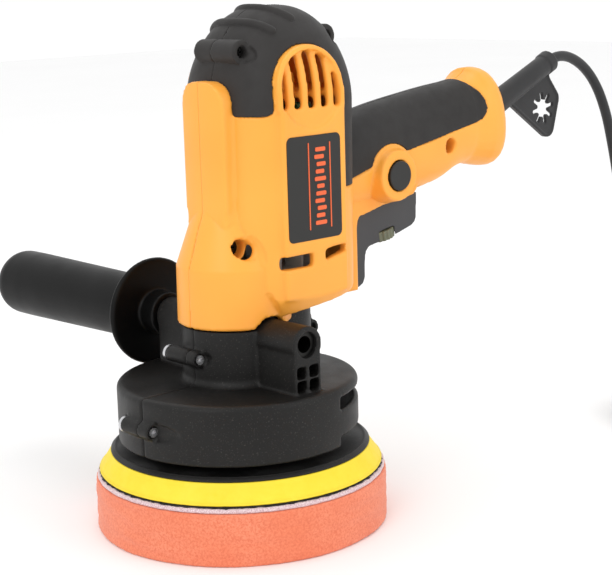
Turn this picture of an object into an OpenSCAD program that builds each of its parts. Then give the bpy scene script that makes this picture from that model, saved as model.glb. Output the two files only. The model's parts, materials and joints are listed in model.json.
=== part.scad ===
// Dual-action polisher with a vertical motor, a rear handle and a screw-in side handle.
// +Z is the spindle axis, +X points to the rear handle, +Y to the side handle.
// z = 0 is the working face of the foam pad.

/* [Pad] */
// Diameter of the foam pad
pad_d = 150; // [125:1:150]
// Thickness of the foam pad
foam_t = 26.5; // [20:0.5:28]
// Thickness of the hook-and-loop layer
hook_t = 3.4; // [2:0.2:4]
// Thickness of the cushioned backing plate
plate_t = 9.8; // [8:0.2:10]
// Offset of the pad axis from the spindle axis
orbit_r = 4; // [2:0.5:4]

/* [Shroud] */
// Outer diameter of the skirt
skirt_d = 123; // [118:1:124]
// Height of the skirt's lower rim above the pad face
skirt_z = 46.5; // [46:0.5:48]
// Height of the skirt
skirt_h = 30; // [28:0.5:30]
// Outer diameter of the clamp collar
collar_d = 55; // [54:0.5:56]
// Distance of the side handle boss faces from the middle plane
boss_y = 53.8; // [48:0.2:56]
// Height of the side handle axis
boss_z = 100.5; // [98:0.5:102]
// Tapping drill radius of the side handle thread
thread_r = 4.25; // [3.4:0.05:4.4]

/* [Housing] */
// Distance from the spindle axis to the motor axis
motor_x = 25; // [25:1:25]
// Half length of the motor barrel, front to back
barrel_hx = 38.4; // [38:0.2:40]
// Half width of the motor barrel
barrel_hy = 36; // [36:0.2:38]
// Height where the dome starts
dome_z = 215; // [212:1:220]
// Height of the dome
dome_h = 46.5; // [42:0.5:50]
// Outer radius of the gear neck
neck_r = 29; // [28.5:0.5:30]
// Thickness of the soft overmould
skin_t = 1.8; // [1.4:0.1:2]
// Thickness of the hard shell under the overmould
shell_t = 2.6; // [2:0.1:2.8]

/* [Side handle] */
// Distance of the grip's far end from the middle plane
grip_end_y = 203; // [180:1:215]
// Radius of the grip at its far end
grip_r = 18.7; // [16:0.1:19]
// Radius of the hand guard disc
guard_r = 29; // [26:0.5:30]

/* [Motor and gears] */
// Gear module
gear_m = 1; // [1:0.5:1]
// Teeth on the motor pinion
pinion_teeth = 10; // [10:1:10]
// Teeth on the spindle gear
gear_teeth = 40; // [40:1:40]
// Outer radius of the stator stack
stator_r = 30; // [28:0.5:30]
// Radius of the armature core
armature_r = 17; // [15:0.5:18]
// Number of fan blades
fan_blades = 14; // [9:1:18]

/* [Cord] */
// Diameter of the mains cord
cord_d = 6.2; // [6:0.1:7]

/* [Hidden] */
$fn = 64;
eps = 0.01;

// Levels of the pad stack
hook_z = foam_t;
plate_z = hook_z + hook_t;
cap_z = plate_z + plate_t;
cap_top = cap_z + 4.5;
orbit_a = 45;
pad_x = orbit_r * cos(orbit_a);
pad_y = orbit_r * sin(orbit_a);

// Levels of the drive
shroud_top = skirt_z + skirt_h;
skirt_r = skirt_d / 2;
collar_r = collar_d / 2;
collar_top = 105;
case_r = collar_r - 3;
case_z = shroud_top + 0.5;
case_top = 112;
lobe_r = 20;
lobe_z = 95;
gear_z = 98;
gear_w = 9;
neck_z = 105.5;

// Housing stations
barrel_x = motor_x + 1;
crown = 0.88;
lean_x = 2.8;
wall = skin_t + shell_t;
belly_z = 118;
foot_z = 109;
strip_w = 15.6;
strip_top = 226.5;
strip_r = 12;
panel_x = [4, 46.5];
arch_x = motor_x;
arch_r = 22;
arch_z = 221;
vent_z = 212;
rim_w = 2.6;
rim_crown = 0.5;
lock_pos = [96.4, 170.1];
web_x = 76;
web_hw = 13;
slot_hw = 9.3;
trigger_hw = 8.6;
pivot = [71.5, 115];
// Screws that join the two halves, as [x, z, head depth]
screws = [[-10.8, 145.2, -12], [144.3, 181, -9.5], [66, 120, -8.5]];
// Dome screw bosses, as [x, z]
dome_bosses = [[-3.4, 240.2], [52.6, 245.4]];
// Handle sections, as [x, centre height, half height, half width]
handle_rows = [[50, 176, 22.5, 20], [80, 178.2, 25, 20], [100, 180.9, 26.3, 19.6],
    [125, 184, 26.9, 19], [145, 187, 26.4, 18.6], [160, 190.6, 24.2, 18.4],
    [169, 192, 24, 18.6], [175, 193, 26.6, 19.8], [180, 193, 28.4, 20.8],
    [186, 193, 28.6, 20.8], [190, 193, 27, 19.2]];
end_tilt = 8;

// Cord: the exit of the strain relief, then the way down to the coil
relief_tilt = 24;
relief_from = [190, 0, 192.5];
cord_r = cord_d / 2;
lead_route = [[250, 0, 219], [256, 0, 221.4], [263, 0, 222.6], [271, 0, 221.8], [279, 0, 219],
    [287, 0, 214.5], [295, 0, 207.8], [302, 0, 199.3], [307.5, 0, 190], [312, 0, 180],
    [315.4, -0.5, 168], [318, -1.5, 155], [320, -3, 140], [322, -5, 122], [324, -8, 104],
    [327, -12, 84], [331, -17, 64], [336, -24, 44], [340.6, -32, 28], [342.4, -36.4, 22]];
coil_x = 309;
coil_y = -70;
coil_mid = 35;
coil_rows = 3;
coil_layers = 3;
coil_in = coil_mid - coil_rows / 2 * cord_d;
coil_out = coil_mid + coil_rows / 2 * cord_d;
coil_h = coil_layers * cord_d;

// ---------- helpers ----------

// Power that keeps the sign
function spow(v, p) = sign(v) * pow(abs(v), p);
// One point of a squarish oval with half sizes a and b
function oval(a, b, t, n) = [a * spow(cos(t), 2 / n), b * spow(sin(t), 2 / n)];
// Cross section of the dome at height h over its start, 1 at the base and 0 at the top
function dome_k(h) = sqrt(max(0, 1 - pow(h / dome_h, 2)));

// Rearward lean of the barrel and dome at height z
function lean(z) = lean_x * max(0, (z - belly_z) / (dome_z + dome_h - belly_z));

// Closed solid through rings of points that all have the same count
module loft(rings) {
    n = len(rings[0]);
    m = len(rings);
    polyhedron(
        points = [for (r = rings) each r],
        faces = concat(
            [[for (i = [0 : n - 1]) i]],
            [for (j = [0 : m - 2], i = [0 : n - 1], half = [0, 1])
                let (a = j * n + i, b = j * n + (i + 1) % n)
                half == 0 ? [a, a + n, b] : [b, a + n, b + n]],
            [[for (i = [n - 1 : -1 : 0]) (m - 1) * n + i]]));
}

// Cylinder along Y from y0 to y1 through x, z
module ycyl(x, z, y0, y1, r) {
    translate([x, y1, z]) rotate([90, 0, 0]) cylinder(r = r, h = y1 - y0);
}

// Extrusion along Y of an outline drawn in x and z
module yslab(y0, y1) {
    translate([0, y1, 0]) rotate([90, 0, 0]) linear_extrude(y1 - y0) children();
}

module tube(r0, r1, h) {
    difference() {
        cylinder(r = r1, h = h);
        translate([0, 0, -eps]) cylinder(r = r0, h = h + 2 * eps);
    }
}

// Half space on the given side of the middle plane
module half_space(side) {
    translate([-150, side > 0 ? 0 : -300, -10]) cube([600, 300, 320]);
}

module at_pad() { translate([pad_x, pad_y, 0]) children(); }
module at_motor() { translate([motor_x, 0, 0]) children(); }
module both_sides() { children(); mirror([0, 1, 0]) children(); }

// Deep groove ball bearing as two rings joined by a recessed shield
module bearing(r0, r1, h) {
    groove = 0.5;
    rim = (r1 - r0) * 0.24;
    difference() {
        tube(r0, r1, h);
        for (z = [-eps, h - groove]) translate([0, 0, z]) tube(r0 + rim, r1 - rim, groove + eps);
    }
}

// Spur gear with straight-flanked teeth
module spur(teeth, w, phase) {
    pitch_r = gear_m * teeth / 2;
    root_r = pitch_r - 1.25 * gear_m;
    tip_r = pitch_r + 0.9 * gear_m;
    root_w = 0.95 * gear_m;
    tip_w = 0.28 * gear_m;
    cylinder(r = root_r, h = w);
    for (i = [0 : teeth - 1]) rotate([0, 0, phase + i * 360 / teeth])
        linear_extrude(w) polygon([[root_r - 0.4, -root_w], [pitch_r, -0.7 * gear_m], [tip_r, -tip_w],
            [tip_r, tip_w], [pitch_r, 0.7 * gear_m], [root_r - 0.4, root_w]]);
}

// ---------- housing envelope ----------

// Rows of the motor barrel and its dome of crown c, drawn in by g, as
// [height, taper in mm, scale, squareness]
function barrel_rows(g, c) = concat(
    [[foot_z + g, 5, 1, 3], [belly_z, 0, 1, 3], [dome_z, 0, 1, 3]],
    [for (i = [1 : 8]) let (a = i * 10.4)
        [dome_z + (dome_h - g) * sin(a), 0, 1 - c * (1 - cos(a)), 3 - 0.6 * sin(a)]],
    [[dome_z + dome_h - g, 0, 1 - c, 2.4]]);

module barrel(g, c = crown) {
    loft([for (r = barrel_rows(g, c)) [for (i = [0 : 35])
        let (p = oval((barrel_hx - r[1] - g) * r[2], (barrel_hy - r[1] - g) * r[2], i * 10, r[3]))
        [barrel_x + lean(r[0]) + p[0], p[1], r[0]]]]);
}

module handle(g) {
    loft([for (k = [0 : len(handle_rows) - 1]) [for (i = [0 : 27])
        let (r = handle_rows[k], last = k > 7 ? 1 : 0, p = oval(r[2] - g, r[3] - g, -i * 360 / 28, 2.3))
        [r[0] - (k == len(handle_rows) - 1 ? g : 0) - last * p[0] * tan(end_tilt), p[1], r[1] + p[0]]]]);
}

// What the barrel's lower front corner gives up to the gear neck
module barrel_relief() {
    yslab(-60, 60) {
        translate([-28, 137]) circle(r = 25);
        translate([-40, 100]) square([37, 37]);
        polygon([[-4, 124], [-3, 124], [7, 109], [7, 100], [-4, 100]]);
        polygon([[5, 100], [5, 110], [47, 115.2], [70, 118], [70, 100]]);
    }
}

module neck(g) {
    rotate_extrude() polygon([[0, neck_z], [neck_r - g, neck_z], [neck_r - 0.4 - g, 135],
        [18.6 - g, 163], [0, 163]]);
}

module strip() {
    intersection() {
        translate([37, 0, 140]) cylinder(r = 55.2, h = 90, $fn = 160);
        translate([-25, 0, 0]) rotate([90, 0, 90]) linear_extrude(20) {
            translate([-strip_w, 145]) square([2 * strip_w, strip_top - 145 - strip_r]);
            translate([strip_r - strip_w, 145]) square([2 * (strip_w - strip_r), strip_top - 145]);
            for (s = [-1, 1]) translate([s * (strip_w - strip_r), strip_top - strip_r]) circle(r = strip_r);
        }
    }
}

// Web between the barrel and the trigger
module web(g) {
    translate([50, -web_hw + g, foot_z + 1 + g]) cube([web_x - 50 - g, 2 * (web_hw - g), 60]);
    yslab(-web_hw + g, web_hw - g) difference() {
        translate([web_x - 4, 143.5]) square([13.5 - g, 15]);
        translate([web_x + 9.5, 143.5]) circle(r = 9.5 + g);
    }
}

// Cheeks of the handle over the trigger
module cheeks() {
    yslab(-web_hw, web_hw) polygon([[80, 149.5], [95.6, 153.1], [119.5, 156.2], [121.5, 158], [124.5, 162], [124.5, 164], [80, 164]]);
}

module side_panels() {
    both_sides() yslab(-barrel_hy - 0.06, -barrel_hy + 8) {
        translate([panel_x[0], 118.5]) square([panel_x[1] - panel_x[0], arch_z - 118.5]);
    }
}

// Arched window outline, drawn in by g
module arch(g) {
    translate([arch_x, arch_z]) circle(r = arch_r - g);
    translate([arch_x - arch_r + g, vent_z]) square([2 * (arch_r - g), arch_z - vent_z]);
}

// Raised rim round the air window
module arch_rim() {
    intersection() {
        barrel(-0.7, rim_crown);
        both_sides() yslab(-45, -15) difference() {
            arch(0.2);
            arch(rim_w);
            translate([0, vent_z - 5]) square([60, 5.5]);
        }
    }
}

// Shallow bed of the window bars
module arch_bed() {
    difference() {
        both_sides() yslab(-45, -15) arch(rim_w);
        barrel(0.9);
    }
}

// Outline of the soft zones, drawn in x and z
module soft_outline() {
    difference() {
        union() {
            translate([-20, 209.5]) square([90, 60]);
            translate([panel_x[1] + 0.5, 170.6]) square([18, 98]);
            polygon([[64, 170.6], [84.8, 176.8], [100, 180.4], [113.7, 182.6], [166.5, 192], [170.5, 193.4],
                [173.3, 196], [174.4, 199.4], [174, 203.4], [171.6, 208.6], [167, 214.4], [160, 221], [60, 225]]);
        }
        difference() {
            translate([arch_x - arch_r - 4.5, 209]) square([5, 5]);
            translate([arch_x - arch_r - 4, 213.5]) circle(r = 4);
        }
        translate([arch_x - arch_r, 180]) square([2 * arch_r, arch_z - 180]);
        translate([arch_x, arch_z]) circle(r = arch_r);
        translate(lock_pos) circle(r = 16.6);
        translate([-20, 205]) square([10.6, strip_top - 205]);
    }
}

module soft_zone() { yslab(-60, 60) soft_outline(); }

module vent_slots() {
    both_sides() yslab(-45, -18) intersection() {
        arch(rim_w + 0.3);
        for (i = [0 : 4]) translate([5.8 + i * 8.6, vent_z]) square([4.9, 40]);
    }
}

module exhaust_slots() {
    both_sides() yslab(-45, -20) {
        translate([3, 134]) square([19.8, 6.5]);
        polygon([[31.2, 135.6], [45.8, 138.6], [45.8, 142.4], [31.2, 141.2]]);
    }
}

// Room for the motor, gears, switch and trigger
module cavity() {
    difference() {
        barrel(wall);
        yslab(-60, 60) {
            translate([-28, 137]) circle(r = 25 + wall - 1);
            translate([-40, 100]) square([37 + wall - 1, 37]);
        }
    }
    handle(wall - 0.6);
    intersection() {
        neck(neck_r - 25);
        translate([-40, -40, 100]) cube([80, 80, 52]);
    }
    at_motor() translate([0, 0, 100]) cylinder(r = lobe_r + 0.6, h = 30);
    translate([0, 0, 100]) cylinder(r = 25, h = 20);
}

module trigger_opening() {
    translate([66.5, -slot_hw, foot_z]) cube([20, 2 * slot_hw, 60]);
    translate([70, -slot_hw, 140]) cube([57.4, 2 * slot_hw, 40]);
}

// Clearance over the side handle bosses
module boss_notch() {
    both_sides() {
        ycyl(0, boss_z, -70, -20, 10.6);
        translate([-10.6, -70, 90]) cube([21.2, 50, boss_z - 90]);
    }
}

module screw_posts() {
    for (s = screws) ycyl(s[0], s[1], s[1] > 130 ? -18 : -15, s[1] > 130 ? 18 : 15, s[1] > 130 ? 6.4 : 4.4);
}

module screw_holes(side) {
    for (s = screws) {
        if (side < 0) ycyl(s[0], s[1], -40, s[2] + 2.6, s[0] < 0 ? 4.9 : 4.2);
        if (side < 0) ycyl(s[0], s[1], s[2] + 2.59, 1, 2.1);
        if (side > 0) ycyl(s[0], s[1], -1, 10, 2.1);
    }
    for (b = dome_bosses) {
        if (side < 0) ycyl(b[0], b[1], -40, -9, 4.7);
        if (side < 0) ycyl(b[0], b[1], -9.01, 1, 2.1);
        if (side > 0) ycyl(b[0], b[1], -1, 10, 2.1);
    }
}

// Ribs that carry the top motor bearing and the bearing bracket
module bearing_seats() {
    intersection() {
        union() {
            translate([0, 0, 217]) at_motor() tube(11.1, 15, 11);
            translate([-20, -40, 217]) cube([90, 80, 3]);
        }
        barrel(skin_t + 0.5);
    }
}

// Free-form shell work kept as one piece
module formed() { resize([0, 0, 0]) children(); }

module shell_outside() {
    difference() {
        barrel(0);
        barrel_relief();
    }
    neck(0);
    strip();
    handle(0);
    web(0);
    cheeks();
    side_panels();
    arch_rim();
    translate([lock_pos[0], -15, lock_pos[1]]) rotate([90, 0, 0]) cylinder(r1 = 15.6, r2 = 13.4, h = 9.8);
}

module shell_inside() {
    intersection() {
        difference() {
            union() {
                screw_posts();
                bearing_seats();
            }
            translate([motor_x, 0, 216]) cylinder(r = 11.1, h = 13);
        }
        union() {
            barrel(skin_t + 0.3);
            handle(skin_t + 0.3);
            neck(1);
            web(1);
        }
    }
}

module housing(side) {
    color([0.99, 0.71, 0.31]) difference() {
        formed($fn = 28) intersection() {
            difference() {
                union() {
                    difference() {
                        shell_outside();
                        difference() {
                            soft_zone();
                            barrel(skin_t);
                            handle(skin_t);
                        }
                        cavity();
                    }
                    shell_inside();
                }
                trigger_opening();
                boss_notch();
                vent_slots();
                arch_bed();
                exhaust_slots();
                nameplate_recess();
            }
            half_space(side);
        }
        screw_holes(side);
        if (side < 0) ycyl(lock_pos[0], lock_pos[1], -40, -5, 8.25);
        translate([180, 0, relief_from[2] - 10 * sin(relief_tilt)]) rotate([0, 90 - relief_tilt, 0])
            translate([0, 0, -20]) cylinder(r = 8, h = 60);
        ycyl(pivot[0], pivot[1], -11, 11, 1.55);
    }
}

module housing_left() { housing(1); }
module housing_right() { housing(-1); }

module overmold(side) {
    color([0.24, 0.235, 0.23]) difference() {
        union() {
            formed($fn = 40) intersection() {
                union() {
                    difference() {
                        union() {
                            intersection() {
                                soft_zone();
                                union() {
                                    barrel(0);
                                    handle(0);
                                }
                            }
                            for (b = dome_bosses) ycyl(b[0], b[1], -17.2, 13, 6);
                        }
                        barrel(skin_t);
                        handle(skin_t);
                        difference() {
                            for (b = dome_bosses) ycyl(b[0], b[1], -40, -17.2, 4.8);
                            barrel(1.1);
                        }
                    }
                    if (side < 0) for (b = dome_bosses) ycyl(b[0], b[1], -17, -9.05, 4.6);
                }
                half_space(side);
            }
        }
        for (b = dome_bosses) {
            if (side < 0) ycyl(b[0], b[1], -18, -11.4, 3);
            if (side < 0) ycyl(b[0], b[1], -11.41, 1, 2.1);
            if (side > 0) ycyl(b[0], b[1], -1, 10, 2.1);
        }
        ycyl(screws[1][0], screws[1][1], -40, -1, 5.2);
    }
}

module overmold_left() { overmold(1); }
module overmold_right() { overmold(-1); }

plate_w = 36;
plate_h = 52;
plate_at = [6.4, 147];

module plate_outline(g) {
    translate([plate_at[0] + 3 + g, plate_at[1] + g]) square([plate_w - 6 - 2 * g, plate_h - 2 * g]);
    translate([plate_at[0] + g, plate_at[1] + 3 + g]) square([plate_w - 2 * g, plate_h - 6 - 2 * g]);
    for (x = [3 + g, plate_w - 3 - g], z = [3 + g, plate_h - 3 - g])
        translate([plate_at[0] + x, plate_at[1] + z]) circle(r = 3);
}

module nameplate_recess() { both_sides() yslab(-barrel_hy - 1, -barrel_hy + 1) plate_outline(-0.2); }

module nameplate(side) {
    color([0.22, 0.22, 0.22]) mirror([0, side > 0 ? 1 : 0, 0])
        yslab(-barrel_hy + 0.1, -barrel_hy + 1) plate_outline(0.1);
}

module nameplate_left() { nameplate(1); }
module nameplate_right() { nameplate(-1); }

module cross_screw(x, z, y0, head_r) {
    difference() {
        union() {
            ycyl(x, z, y0, y0 + 2.6, head_r);
            ycyl(x, z, y0 + 2.5, 9, 1.8);
        }
        for (a = [0, 90]) translate([x, y0, z]) rotate([0, a, 0]) cube([3.6, 2, 0.9], center = true);
    }
}

module housing_screws() {
    color("silver") {
        for (s = screws) cross_screw(s[0], s[1], s[2], 3.6);
        for (b = dome_bosses) cross_screw(b[0], b[1], -14, 2.8);
    }
}

// ---------- shroud and side handle ----------

module shroud_profile() {
    lip = 3;
    translate([0, 0]) {
        difference() {
            union() {
                square([skirt_r - lip, shroud_top]);
                square([skirt_r, shroud_top - lip]);
                translate([skirt_r - lip, shroud_top - lip]) circle(r = lip);
                translate([0, shroud_top]) square([collar_r + 4, 4]);
                square([collar_r, collar_top]);
            }
            translate([-1, -1]) square([skirt_r - 2, shroud_top - 2]);
            translate([-1, -1]) square([case_r + 1.1, 200]);
            translate([0, -1]) square([100, skirt_z + 1]);
            translate([collar_r + 4, shroud_top + 4]) circle(r = 4);
        }
    }
}

// Clamp stations, as [x, z]: front collar, front skirt, rear collar, rear skirt
clamps = [[-29.4, 91], [-61, 61.2], [29.4, 86], [61, 61.2]];
clamp_r = 4.2;
// Ends of a clamp barrel along Y
function clamp_ends(c) = abs(c[0]) > 40 ? [-8, 13] : [-6.5, 16];

module side_boss() {
    w = 8.6;
    difference() {
        union() {
            ycyl(0, boss_z, -boss_y, -22, 9.3);
            translate([-w, -boss_y, shroud_top - 2]) cube([2 * w, boss_y - 22, boss_z - shroud_top + 2]);
        }
        for (x = [-7.2, 1], z = [74 + 3.2, 84]) translate([x, -boss_y - 1, z]) cube([6.2, 15, 6]);
        ycyl(0, boss_z, -boss_y - 1, -boss_y + 2.4, 5.8);
        ycyl(0, boss_z, -boss_y, -boss_y + 24, 6.4);
    }
}

module clamp_barrels() {
    for (c = clamps) ycyl(c[0], c[1], clamp_ends(c)[0], clamp_ends(c)[1], clamp_r);
}

// Scoop in the wall that lets a tool reach the bolt
module tool_way(c) {
    difference() {
        ycyl(c[0], c[1], -24, clamp_ends(c)[0], clamp_r + 0.3);
        translate([0, 0, 40]) cylinder(r = skirt_r - 1.6, h = shroud_top - 40);
        cylinder(r = collar_r - 1.4, h = 120);
    }
}

module shroud(side) {
    color([0.19, 0.185, 0.18]) intersection() {
        difference() {
            union() {
                rotate_extrude($fn = 128) shroud_profile();
                both_sides() side_boss();
                difference() {
                    clamp_barrels();
                    translate([0, 0, skirt_z]) cylinder(r = skirt_r - 3, h = skirt_h - 3);
                    cylinder(r = case_r + 0.1, h = 120);
                }
            }
            for (c = clamps) {
                tool_way(c);
                ycyl(c[0], c[1], clamp_ends(c)[0] - 1, 18, 2);
                ycyl(c[0], c[1], clamp_ends(c)[0] - 1, clamp_ends(c)[0] + 2.2, 2.6);
                ycyl(c[0], c[1], clamp_ends(c)[1], clamp_ends(c)[1] + 2.4, 4.3);
            }
            translate([0, 0, shroud_top - 1]) cylinder(r = case_r + 0.1, h = 50);
            at_motor() translate([0, 0, lobe_z - 0.5]) cylinder(r = lobe_r + 0.5, h = 30);
            skirt_vents();
        }
        half_space(side);
    }
}

// Air slots and the open notches at the rear of the skirt
module skirt_vents() {
    both_sides() intersection() {
        union() {
            translate([0, 0, 65.4]) cylinder(r = skirt_r + 1, h = 6.6);
            translate([0, 0, skirt_z - 1]) cylinder(r = skirt_r + 1, h = 6.5);
        }
        linear_extrude(100) polygon([[50 * cos(-75), 50 * sin(-75)], [90 * cos(-75), 90 * sin(-75)],
            [90, -80], [90 * cos(-24), 90 * sin(-24)], [50 * cos(-24), 50 * sin(-24)]]);
    }
}

module shroud_left() { shroud(1); }
module shroud_right() { shroud(-1); }

module clamp_bolts() {
    color("silver") for (c = clamps) difference() {
        union() {
            ycyl(c[0], c[1], clamp_ends(c)[0] - 0.7, clamp_ends(c)[0] + 2.2, 2.4);
            ycyl(c[0], c[1], clamp_ends(c)[0] + 2, clamp_ends(c)[1] + 1.4, 1.8);
        }
        translate([c[0], clamp_ends(c)[0] + 1, c[1]]) rotate([90, 0, 0]) cylinder(r = 1.2, h = 4, $fn = 6);
    }
}

module clamp_nuts() {
    color("silver") for (c = clamps) difference() {
        ycyl(c[0], c[1], clamp_ends(c)[1], clamp_ends(c)[1] + 1.8, 4);
        ycyl(c[0], c[1], clamp_ends(c)[1] - 1, clamp_ends(c)[1] + 2, 1.85);
    }
}

module thread_inserts() {
    color([0.2, 0.2, 0.2]) both_sides() difference() {
        ycyl(0, boss_z, -boss_y + 2.5, -boss_y + 22.5, 6.3);
        ycyl(0, boss_z, -boss_y + 2, -boss_y + 23, thread_r);
    }
}

guard_y = boss_y + 12;

module side_grip() {
    color([0.17, 0.175, 0.175]) translate([0, 0, boss_z]) rotate([-90, 0, 0]) rotate_extrude() difference() {
        union() {
            translate([0, boss_y + 0.6]) square([11.5, 13]);
            translate([0, guard_y]) square([guard_r - 1.5, 4]);
            translate([guard_r - 2, guard_y + 2]) circle(r = 2);
            polygon([[0, guard_y + 3], [17, guard_y + 3], [grip_r, grip_end_y - 26],
                [grip_r, grip_end_y - 13], [grip_r - 13, grip_end_y], [0, grip_end_y]]);
            translate([grip_r - 13, grip_end_y - 13]) circle(r = 13);
        }
        translate([-40, 0]) square([40, 300]);
        translate([-1, 0]) square([6.05, guard_y + 62]);
    }
}

module side_stud() {
    color("silver") {
        ycyl(0, boss_z, boss_y - 20, guard_y + 60, thread_r - 0.05);
        translate([0, guard_y + 46, boss_z]) rotate([-90, 0, 0]) cylinder(r = 5, h = 12);
    }
}

// ---------- gearbox ----------

module gearcase() {
    lug_x = 51;
    color([0.2, 0.195, 0.19]) difference() {
        union() {
            translate([0, 0, case_z]) cylinder(r = case_r, h = case_top - case_z);
            at_motor() translate([0, 0, lobe_z]) cylinder(r = lobe_r, h = case_top - lobe_z);
            translate([40, -2.5, 88]) cube([lug_x - 40, 5, 12]);
            ycyl(lug_x, 92.5, -2.5, 2.5, 4.5);
        }
        translate([0, 0, 94]) cylinder(r = 22, h = 30);
        at_motor() translate([0, 0, 96.5]) cylinder(r = 17, h = 30);
        translate([0, 0, 83]) cylinder(r = 16, h = 12);
        translate([0, 0, 70]) cylinder(r = 9, h = 20);
        ycyl(lug_x, 92.5, -4, 4, 2.4);
    }
}

module bearing_bracket() {
    color("gainsboro") difference() {
        union() {
            translate([0, 0, case_top]) cylinder(r = 24.4, h = 6);
            at_motor() translate([0, 0, case_top]) cylinder(r = 20.4, h = 6);
            at_motor() translate([0, 0, case_top + 5]) cylinder(r = 16, h = 10);
            translate([0, 0, case_top + 5]) cylinder(r = 13, h = 3);
        }
        translate([0, 0, case_top - 1]) cylinder(r = 11, h = 8);
        translate([0, 0, case_top]) cylinder(r = 6, h = 20);
        at_motor() translate([0, 0, case_top - 1]) cylinder(r = 8, h = 20);
        at_motor() translate([0, 0, case_top + 7]) cylinder(r = 13, h = 20);
    }
}

module spindle_bearing_low() { color("silver") translate([0, 0, 83]) bearing(6.05, 15.95, 10); }
module spindle_bearing_top() { color("silver") translate([0, 0, case_top]) bearing(4.05, 10.95, 7); }
module motor_bearing_low() { color("silver") translate([motor_x, 0, case_top + 7]) bearing(5.05, 12.95, 8); }
module motor_bearing_top() { color("silver") translate([motor_x, 0, 220.2]) bearing(4.05, 11, 7); }

module spindle() {
    color("silver") {
        translate([0, 0, 70]) cylinder(r = 6, h = 38);
        translate([0, 0, 107.9]) cylinder(r = 4, h = 11);
    }
}

module spindle_gear() {
    color("darkgray") translate([0, 0, gear_z]) difference() {
        spur(gear_teeth, gear_w, 0);
        translate([0, 0, -1]) cylinder(r = 6.02, h = gear_w + 2);
        translate([0, 0, gear_w - 2]) tube(9, 15, 3);
    }
}

module eccentric() {
    color("lightgray") difference() {
        union() {
            translate([0, 0, 66.5]) cylinder(r = 17, h = 6);
            at_pad() translate([0, 0, 50]) cylinder(r = 19, h = 17);
        }
        at_pad() translate([0, 0, 49]) cylinder(r = 16.02, h = 13);
        at_pad() translate([0, 0, 60]) cylinder(r = 9, h = 5);
        translate([0, 0, 70]) cylinder(r = 6.02, h = 8);
    }
}

module counterweight() {
    color("dimgray") difference() {
        intersection() {
            translate([0, 0, 60]) cylinder(r = 46, h = 10);
            rotate([0, 0, orbit_a + 180]) linear_extrude(80) polygon([[0, 0], [60, -52], [90, 0], [60, 52]]);
        }
        translate([0, 0, 50]) cylinder(r = 25, h = 30);
    }
    color("dimgray") intersection() {
        translate([0, 0, 66.5]) tube(17, 26, 3.5);
        rotate([0, 0, orbit_a + 180]) linear_extrude(80) polygon([[0, 0], [60, -52], [90, 0], [60, 52]]);
    }
}

module pad_bearing() { color("silver") at_pad() translate([0, 0, 50.2]) bearing(6.05, 16, 11.5); }

// ---------- pad ----------

module pad_shaft() {
    color("silver") at_pad() difference() {
        union() {
            translate([0, 0, cap_top - 0.5]) cylinder(r = 17, h = 3.4);
            translate([0, 0, cap_top]) cylinder(r = 8, h = 5.5);
            translate([0, 0, cap_top]) cylinder(r = 6, h = 18.6);
        }
        translate([0, 0, cap_top - 1]) cylinder(r = 3.4, h = 14);
    }
}

module pad_bolt() {
    color("silver") at_pad() difference() {
        union() {
            translate([0, 0, plate_z + 1.6]) cylinder(r = 7, h = 4.4);
            translate([0, 0, plate_z + 5.5]) cylinder(r = 3.35, h = 19);
        }
        translate([0, 0, plate_z + 1]) cylinder(r = 3, h = 3.5, $fn = 6);
    }
}

module plate_cap() {
    color([0.16, 0.16, 0.16]) at_pad() difference() {
        union() {
            translate([0, 0, cap_z]) cylinder(r1 = pad_d / 2 - 8.4, r2 = pad_d / 2 - 10.2, h = 2.4);
            translate([0, 0, cap_z]) cylinder(r = 42, h = cap_top - cap_z);
        }
        translate([0, 0, cap_z + 1.2]) tube(42, pad_d / 2 - 11.8, 3);
        translate([0, 0, cap_top - 0.5]) cylinder(r = 17.05, h = 2);
        translate([0, 0, cap_z - 1]) cylinder(r = 3.5, h = 10);
    }
}

module backing_plate() {
    color([0.99, 0.91, 0.2]) at_pad() difference() {
        translate([0, 0, plate_z]) cylinder(r1 = pad_d / 2 - 2, r2 = pad_d / 2 - 7.7, h = plate_t);
        translate([0, 0, plate_z - 1]) cylinder(r = 7.3, h = 7);
        translate([0, 0, plate_z - 1]) cylinder(r = 3.5, h = plate_t + 2);
    }
}

module hook_layer() {
    color([0.91, 0.8, 0.82]) at_pad() translate([0, 0, hook_z]) cylinder(r = pad_d / 2 - 1.6, h = hook_t);
}

module foam_pad() {
    edge = 2.5;
    color([0.96, 0.53, 0.39]) at_pad() rotate_extrude($fn = 96) {
        square([pad_d / 2 - edge, foam_t]);
        translate([0, edge]) square([pad_d / 2, foam_t - 2 * edge]);
        for (z = [edge, foam_t - edge]) translate([pad_d / 2 - edge, z]) circle(r = edge);
    }
}

// ---------- motor ----------

stack_z = 150;
stack_h = 42;

module stator_core() {
    color("slategray") at_motor() translate([0, 0, stack_z]) difference() {
        cylinder(r = stator_r, h = stack_h);
        translate([0, 0, -1]) cylinder(r = armature_r + 0.6, h = stack_h + 2);
        for (s = [-1, 1]) translate([s * 22.5, 0, -1]) scale([0.5, 1, 1]) cylinder(r = 9, h = stack_h + 2);
        for (s = [-1, 1], t = [-1, 1]) translate([s * 14, t * 17.5, stack_h / 2])
            cube([9, 5, stack_h + 2], center = true);
        for (s = [-1, 1]) translate([-40, s * 28.2 - (s < 0 ? 5 : 0), -1]) cube([80, 5, stack_h + 2]);
    }
}

module field_coils() {
    color("peru") at_motor() both_sides() for (z = [stack_z - 6, stack_z + stack_h + 0.1])
        translate([0, 0, z]) intersection() {
            tube(18.5, 27, 5.9);
            translate([-18, 5, -1]) cube([36, 30, 8]);
        }
}

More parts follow.
